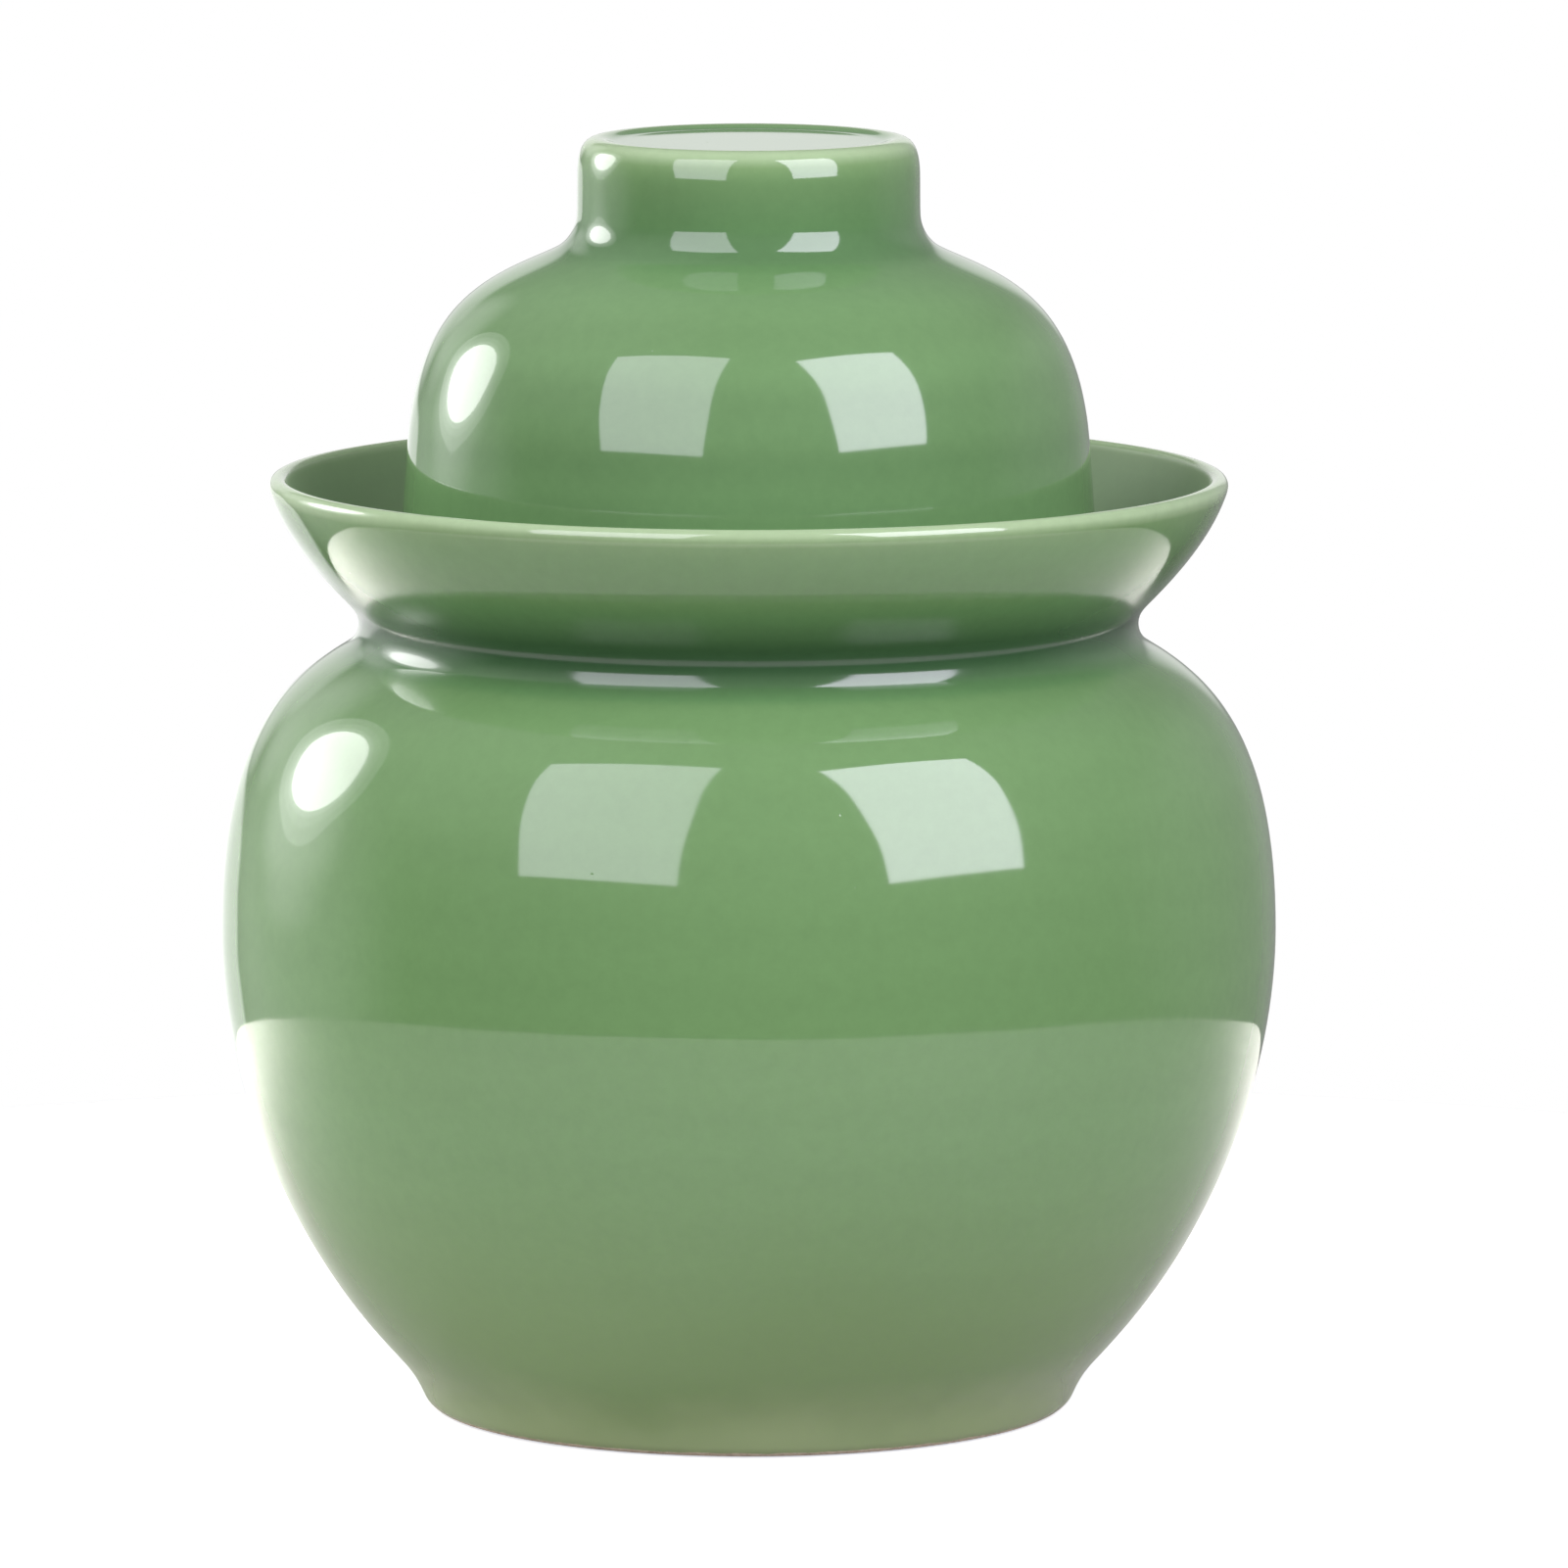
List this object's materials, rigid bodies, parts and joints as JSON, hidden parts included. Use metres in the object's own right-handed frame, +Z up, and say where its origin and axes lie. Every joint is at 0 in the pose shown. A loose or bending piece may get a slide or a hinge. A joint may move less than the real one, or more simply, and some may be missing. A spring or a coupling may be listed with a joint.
{
  "type": "water seal pickle jar",
  "caption": "Round green glazed stoneware pickle jar with a flared water trough round its mouth, a flat inner lid and a bowl shaped outer lid with a ring knob.",
  "frame": {"origin": "centre of the foot's resting plane", "axes": "+Z up along the jar's axis of revolution; +X to the right and -Y towards the viewer of the picture"},
  "size_m": [0.18, 0.18, 0.2173],
  "materials": {
    "jar_glaze": "clear green glaze, high gloss, bare foot ring",
    "lid_glaze": "clear green glaze, high gloss, bare rim"
  },
  "bodies": {
    "jar": {"jar": "jar_glaze"},
    "inner_lid": {"inner_lid": "lid_glaze"},
    "outer_lid": {"outer_lid": "lid_glaze"}
  },
  "joints": [
    {"name": "inner_lid_lift", "type": "slide", "parent": "jar", "child": "inner_lid", "axis": [0, 0, 1], "range_m": [0, 0.05]},
    {"name": "outer_lid_lift", "type": "slide", "parent": "inner_lid", "child": "outer_lid", "axis": [0, 0, 1], "range_m": [0, 0.06]}
  ]
}
